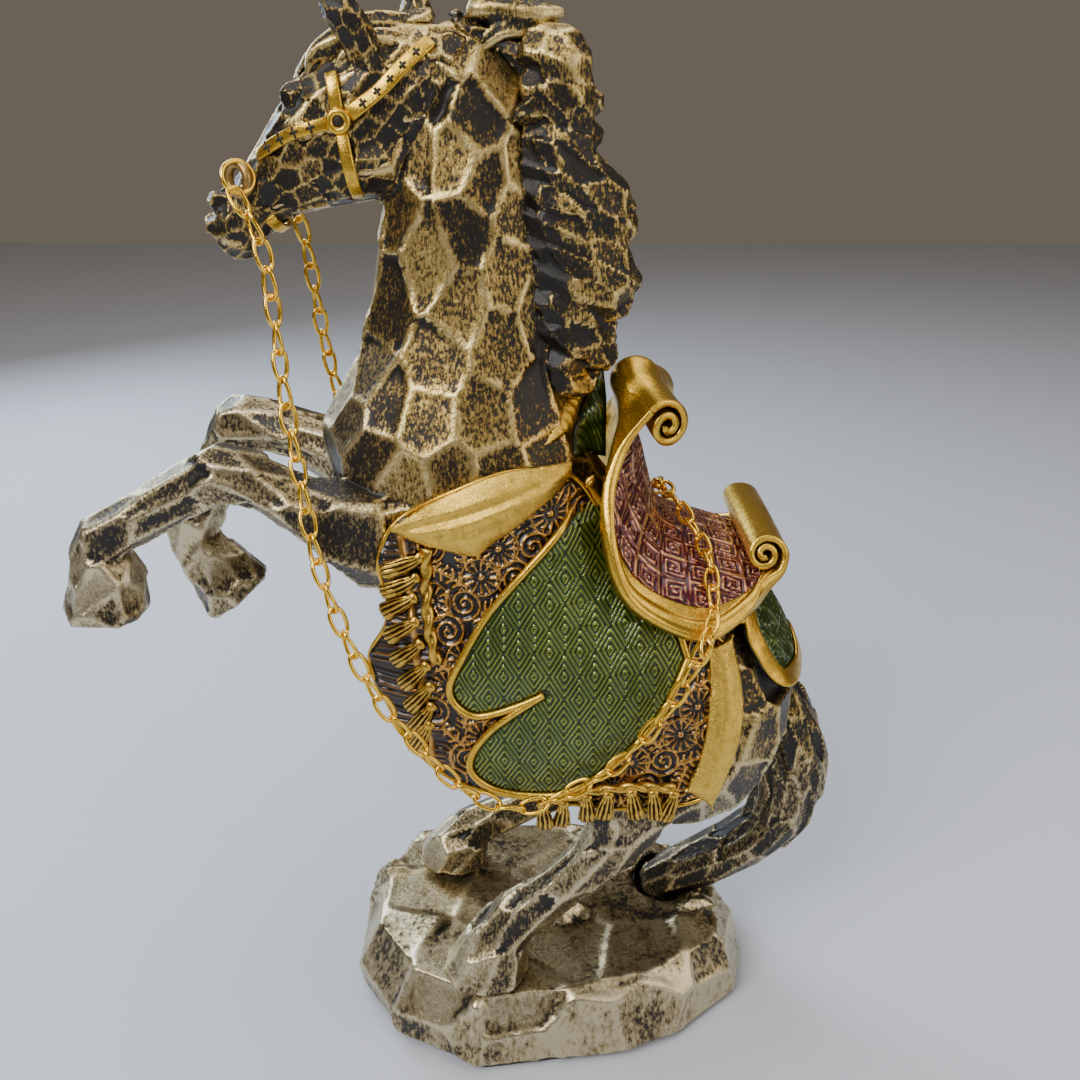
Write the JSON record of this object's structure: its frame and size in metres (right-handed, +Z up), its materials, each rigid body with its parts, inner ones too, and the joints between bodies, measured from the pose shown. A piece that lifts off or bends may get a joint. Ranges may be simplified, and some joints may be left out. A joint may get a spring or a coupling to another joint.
{
  "type": "rearing horse statuette",
  "caption": "Rearing horse in saddle, caparison and bridle on a faceted rock base, with loose chain reins.",
  "frame": {"origin": "a point on the flat underside of the felt pad, below the horse's belly", "axes": "+Z up; the horse faces -X, so its left flank is towards -Y; its mid-plane is the XZ plane"},
  "size_m": [0.1815, 0.0799, 0.25],
  "materials": {
    "bronze": "carved facets with an antiqued bronze coat, dark in the hollows and bright on the ridges",
    "cast_stone": "rock facets with the same coat, worn paler",
    "felt": "black felt",
    "steel": "plain",
    "gold_paint": "satin gold paint, slightly grainy",
    "green_enamel": "clear green lacquer over a raised pattern",
    "red_enamel": "clear crimson lacquer over a raised pattern",
    "filigree": "copper gold relief on a black ground",
    "brass_chain": "polished"
  },
  "bodies": {
    "statue": {"torso": "bronze", "neck": "bronze", "head": "bronze", "left_ear": "bronze", "right_ear": "bronze", "forelock": "bronze", "poll_tuft": "bronze", "mane": "bronze", "tail": "bronze", "left_foreleg": "bronze", "right_foreleg": "bronze", "left_hind_leg": "bronze", "right_hind_leg": "bronze", "rock_base": "cast_stone", "felt_pad": "felt", "left_hind_dowel": "steel", "right_hind_dowel": "steel", "tail_dowel": "steel", "saddle_seat": "red_enamel", "pommel_scroll": "gold_paint", "cantle_scroll": "gold_paint", "croup_skirt": "green_enamel", "curb_strap": "gold_paint", "left_saddle_cloth": "filigree", "left_tassel_band": "gold_paint", "left_green_flap": "green_enamel", "left_front_hem": "gold_paint", "left_rear_hem": "gold_paint", "left_crown_strap": "gold_paint", "left_cheek_strap": "gold_paint", "left_throat_strap": "gold_paint", "left_brow_strap": "gold_paint", "left_boss": "gold_paint", "left_bit_ring": "gold_paint", "right_saddle_cloth": "filigree", "right_tassel_band": "gold_paint", "right_green_flap": "green_enamel", "right_front_hem": "gold_paint", "right_rear_hem": "gold_paint", "right_crown_strap": "gold_paint", "right_cheek_strap": "gold_paint", "right_throat_strap": "gold_paint", "right_brow_strap": "gold_paint", "right_boss": "gold_paint", "right_bit_ring": "gold_paint", "seat_rein": "brass_chain"},
    "left_rein_run": {"left_rein": "brass_chain"},
    "right_rein_run": {"right_rein": "brass_chain"}
  },
  "joints": [
    {"name": "left_rein_swing", "type": "hinge", "parent": "statue", "child": "left_rein_run", "pos_m": [-0.0609, -0.0172, 0.2089], "axis": [-0.713, 0.1516, 0.6846], "range_deg": [0, 50]},
    {"name": "right_rein_swing", "type": "hinge", "parent": "statue", "child": "right_rein_run", "pos_m": [-0.0609, 0.0172, 0.2089], "axis": [0.713, 0.1516, -0.6846], "range_deg": [0, 50]}
  ]
}
